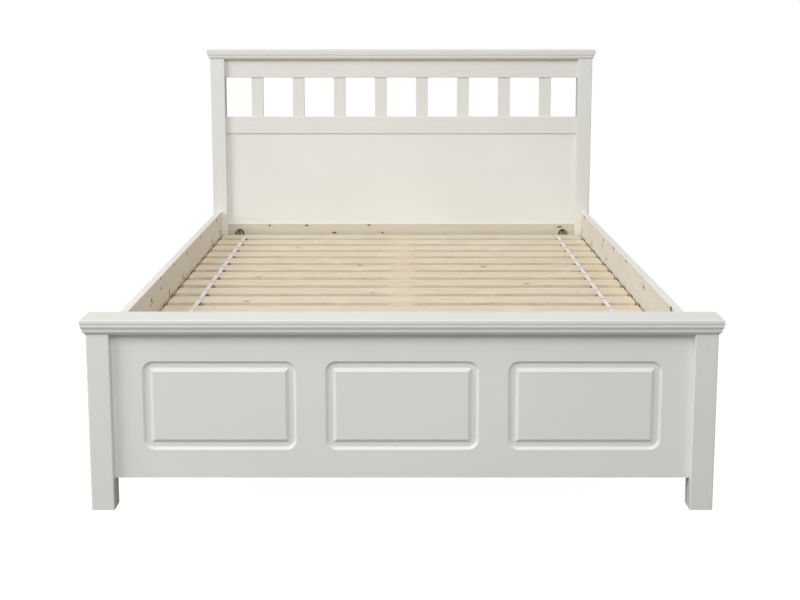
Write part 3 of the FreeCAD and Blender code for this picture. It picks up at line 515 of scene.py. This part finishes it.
# Painted shade on the bare wood in the gaps between the slats, just below their tops.
RAIL_GAP_SHADE = colour(98, 86, 62)
GAP_SHADE_SHARE = 0.88
RAIL_PITH = (0.3, 0.62)
POCKET_INSET = 0.0445
POCKET_RADIUS = 0.0175
POCKET_RIM = (0.0002, 0.0004)
OUTER_SKIN = (0.002, 0.0015)
BARE_RIM = (0.0007, 0.0009)
RAGGED_RIM = 0.0006
GAP_SHADE_TOP = (-0.0012, 0.0004)
GAP_SHARES = (0.31, 0.34)
LEFT_KNOTS = (
    (-0.43, 0.369, 0.008, 0.006),
    (-0.445, 0.358, 0.005, 0.004),
    (-0.414, 0.360, 0.005, 0.004),
    (-0.282, 0.372, 0.006, 0.005),
    (0.183, 0.391, 0.007, 0.006),
    (0.480, 0.394, 0.007, 0.006),
    (0.866, 0.394, 0.008, 0.006),
    (-0.282, 0.402, 0.006, 0.004),
    (-0.065, 0.402, 0.006, 0.004),
    (0.737, 0.331, 0.007, 0.012),
    (0.094, 0.331, 0.006, 0.010),
    (-0.154, 0.331, 0.006, 0.010),
)
RIGHT_KNOTS = (
    (0.896, 0.403, 0.009, 0.006),
    (0.441, 0.392, 0.008, 0.006),
    (0.464, 0.370, 0.007, 0.006),
    (0.704, 0.333, 0.007, 0.011),
    (0.229, 0.400, 0.008, 0.006),
    (0.365, 0.340, 0.006, 0.005),
    (-0.007, 0.401, 0.007, 0.005),
    (-0.302, 0.380, 0.008, 0.006),
    (-0.680, 0.401, 0.013, 0.008),
)
for side, knots, wash in (("left", LEFT_KNOTS, LEFT_WASH), ("right", RIGHT_KNOTS, RIGHT_WASH)):
    low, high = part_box(f"side_rail_{side}")
    inner_x = min(abs(low.x), abs(high.x))
    outer_x = max(abs(low.x), abs(high.x))
    pocket_y = high.y - POCKET_INSET
    pocket_z = (low.z + high.z) / 2
    rail, wood = pine(f"rail_timber_{side}", (1, 2, 0), RAIL_PITH, knots, wash=wash)
    x, y, z = rail.place()
    cloud = rail.noise(rail.vector(x, y, z), 4)
    # The lighter, painted-light copy of the lacquer for the rails.
    lacquer = rail.mix(cloud.between(0.3, 0.7), RAIL_LACQUER_LIT_DEEP, RAIL_LACQUER_LIT_PALE)
    ragged = rail.noise(rail.vector(x, y * 60, z * 60), 1, 3)
    outwards = abs(x) + (ragged - 0.5) * RAGGED_RIM
    inside = 1 - outwards.between(*(inner_x + rim for rim in BARE_RIM))
    from_pocket = ((abs(y) - pocket_y) ** 2 + (z - pocket_z) ** 2) ** 0.5
    drilled = 1 - from_pocket.between(*(POCKET_RADIUS + rim for rim in POCKET_RIM))
    pocket = drilled * (1 - abs(x).between(*(outer_x - skin for skin in OUTER_SKIN)))
    bare = inside.most(pocket)
    # Painted shade: the rail's inner face darkens below the slat tops in each gap between slats.
    slats_on = (y - last_slat) / slat_pitch
    in_gap = abs(slats_on - slats_on.nearest_whole()).between(*GAP_SHARES)
    gap_shade = (1 - z.between(*(slat_top.z + height for height in GAP_SHADE_TOP))) * in_gap
    timber = rail.mix(gap_shade * GAP_SHADE_SHARE, wood, RAIL_GAP_SHADE)
    rail.feed(rail.shader, {
        "Base Color": rail.mix(bare, lacquer, timber),
        "Roughness": 0.45 + 0.22 * bare,
    })
    rail.give(f"side_rail_{side}")


# The steel fixings: hangers, studs, washers, nuts and screws, all bright zinc plated.
# The plating shows a fine spangle and a slow change of tone.
ZINC_PALE = colour(206, 198, 172)
ZINC_DARK = colour(164, 154, 128)
SPANGLE_FINENESS = 420
SPANGLE_DEPTH = 0.00005


def plated(name, pale, dark):
    finish = Finish(name)
    whole = finish.vector(*finish.place())
    spangle = finish.noise(whole, SPANGLE_FINENESS)
    cloud = finish.noise(whole, 60)
    finish.feed(finish.shader, {
        "Base Color": finish.mix(spangle * 0.5 + cloud * 0.5, pale, dark),
        "Metallic": 0.9,
        "Roughness": 0.3 + 0.2 * cloud,
        "Normal": finish.bump(spangle, SPANGLE_DEPTH, 0.4),
    })
    return finish


zinc = plated("zinc", ZINC_PALE, ZINC_DARK)
zinc.give("beam_hangers", "joint_studs", "stud_nuts", "half_moon_washers", "ledger_screws", "hanger_screws")


# The dowels in every joint are turned beech, and the glides under the posts and the leg are
# moulded nylon with a faint flow pattern.
BEECH_PALE = colour(206, 168, 126)
BEECH_DARK = colour(182, 142, 100)
NYLON_PALE = colour(222, 220, 212)
NYLON_DARK = colour(208, 206, 198)
FLOW_DEPTH = 0.00008
beech = Finish("beech_dowels")
grain = beech.noise(beech.vector(*beech.place()), 300)
beech.feed(beech.shader, {
    "Base Color": beech.mix(grain, BEECH_PALE, BEECH_DARK),
    "Roughness": 0.55 + 0.2 * grain,
})
beech.give("joint_dowels")

nylon = Finish("nylon_glides")
flow = nylon.noise(nylon.vector(*nylon.place()), 240)
nylon.feed(nylon.shader, {
    "Base Color": nylon.mix(flow, NYLON_PALE, NYLON_DARK),
    "Roughness": 0.4 + 0.2 * flow,
    "Normal": nylon.bump(flow, FLOW_DEPTH, 0.5),
})
nylon.give("glides")


# The two tapes that keep the slats apart: woven polyester, stapled flat to the middle of every
# slat and hanging a little slack in the gaps between them, with a cut end just past the last staple.
TAPE_PALE = colour(249, 242, 234)
TAPE_DEEP = colour(240, 233, 225)
SELVEDGE = colour(176, 170, 158)
SELVEDGE_START = (0.0062, 0.0068)
WEFT_FINENESS = 5200
WARP_FINENESS = 7000
WEAVE_DEPTH = 0.0002
ROW_REACH = 0.001
TAPE_CREASE = math.radians(40)
SLACK_ROWS = (
    (0.030, 0),
    (0.022, 0.0002),
    (0.014, 0.0005),
    (0.007, 0.0002),
    (0, 0.0001),
)
webbing = Finish("webbing_tape")
x, y, z = webbing.place()
weave = (y * WEFT_FINENESS).sine() * (x * WARP_FINENESS).sine()
woven = webbing.mix(weave * 0.5 + 0.5, TAPE_DEEP, TAPE_PALE)
selvedge = abs(abs(x) - tape_x).between(*SELVEDGE_START)
webbing.feed(webbing.shader, {
    "Base Color": webbing.mix(selvedge * 0.5, woven, SELVEDGE),
    "Roughness": 0.7 + 0.1 * weave,
    "Specular IOR Level": 0.2,
    "Normal": webbing.bump(weave, WEAVE_DEPTH, 0.5),
})
for side in ("left", "right"):
    low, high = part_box(f"tape_{side}")
    middle = (low + high) / 2
    bpy.ops.object.select_all(action="DESELECT")
    bpy.ops.mesh.primitive_plane_add(size=1, location=(middle.x, middle.y, low.z))
    tape = bpy.context.object
    tape.name = f"webbing_{side}"
    tape.scale = (high.x - low.x, high.y - low.y, 1)
    bpy.ops.object.transform_apply(location=True, rotation=False, scale=True)
    bpy.ops.object.mode_set(mode="EDIT")
    for gap in range(gap_count):
        gap_y = first_slat - (gap + 0.5) * slat_pitch
        for from_middle, drop in SLACK_ROWS:
            for way in (-1, 1):
                bpy.ops.mesh.select_all(action="SELECT")
                row = (middle.x, gap_y + way * from_middle, low.z)
                if from_middle or way > 0:
                    bpy.ops.mesh.bisect(plane_co=row, plane_no=(0, 1, 0))
    bpy.ops.mesh.select_mode(type="VERT")
    for from_middle, drop in SLACK_ROWS[1:]:
        bpy.ops.mesh.select_all(action="DESELECT")
        bpy.ops.object.mode_set(mode="OBJECT")
        for corner in tape.data.vertices:
            gaps_on = (first_slat - corner.co.y) / slat_pitch
            from_gap = abs(gaps_on % 1 - 0.5) * slat_pitch
            corner.select = 0 < gaps_on < gap_count and from_gap < from_middle + ROW_REACH
        bpy.ops.object.mode_set(mode="EDIT")
        bpy.ops.transform.translate(value=(0, 0, -drop))
    bpy.ops.object.mode_set(mode="OBJECT")
    thick = tape.modifiers.new("thick", "SOLIDIFY")
    thick.thickness = high.z - low.z
    thick.offset = 1
    soft = tape.modifiers.new("soft", "SUBSURF")
    soft.subdivision_type = "SIMPLE"
    soft.levels = 1
    soft.render_levels = 1
    for modifier in ("thick", "soft"):
        bpy.ops.object.modifier_apply(modifier=modifier)
    bpy.ops.object.shade_smooth_by_angle(angle=TAPE_CREASE)
    tape.data.materials.append(webbing.material)
    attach(tape, "slat_mat")
    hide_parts(f"tape_{side}")


# The staples: galvanised wire with a round-shouldered crown across the tape and two legs driven
# down into the slat, one in the middle of every slat on each tape, all from the same gun.
WIRE = 0.001
WIRE_SIDES = 8
WIRE_CREASE = math.radians(50)
SHOULDER = 0.0014
SHOULDER_STEPS = 3
MERGE_REACH = 0.00001
STAPLE_PALE = colour(124, 121, 114)
STAPLE_DARK = colour(92, 90, 84)
low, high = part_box("tape_staples")
crown_half = high.x - tape_x
leg_foot = (-tape_x - crown_half + WIRE / 2, first_slat, low.z)
bpy.ops.object.select_all(action="DESELECT")
bpy.ops.mesh.primitive_circle_add(
    vertices=WIRE_SIDES, radius=WIRE / 2, fill_type="NGON", location=leg_foot
)
staples = bpy.context.object
staples.name = "staples"
bpy.ops.object.transform_apply(location=True, rotation=False, scale=False)
bpy.ops.object.mode_set(mode="EDIT")
bpy.ops.mesh.select_all(action="SELECT")
shoulder_z = high.z - WIRE / 2 - SHOULDER
crown_run = 2 * (crown_half - WIRE / 2 - SHOULDER)
bends = (
    ((0, 0, shoulder_z - low.z), leg_foot[0] + SHOULDER),
    ((crown_run, 0, 0), leg_foot[0] + SHOULDER + crown_run),
)
for move, centre_x in bends:
    centre = (centre_x, first_slat, shoulder_z)
    bpy.ops.mesh.extrude_region_move(TRANSFORM_OT_translate={"value": move})
    bpy.ops.mesh.spin(steps=SHOULDER_STEPS, angle=-math.pi / 2, center=centre, axis=(0, 1, 0))
bpy.ops.mesh.extrude_region_move(TRANSFORM_OT_translate={"value": (0, 0, low.z - shoulder_z)})
bpy.ops.mesh.select_all(action="SELECT")
bpy.ops.mesh.remove_doubles(threshold=MERGE_REACH)
bpy.ops.mesh.normals_make_consistent(inside=False)
bpy.ops.object.mode_set(mode="OBJECT")
for name, count, offset in (("along", SLAT_COUNT, (0, -slat_pitch, 0)), ("across", 2, (2 * tape_x, 0, 0))):
    row = staples.modifiers.new(name, "ARRAY")
    row.count = count
    row.use_relative_offset = False
    row.use_constant_offset = True
    row.constant_offset_displace = offset
    bpy.ops.object.modifier_apply(modifier=name)
bpy.ops.object.shade_smooth_by_angle(angle=WIRE_CREASE)
staples.data.materials.append(plated("staple_zinc", STAPLE_PALE, STAPLE_DARK).material)
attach(staples, "slat_mat")
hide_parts("tape_staples")
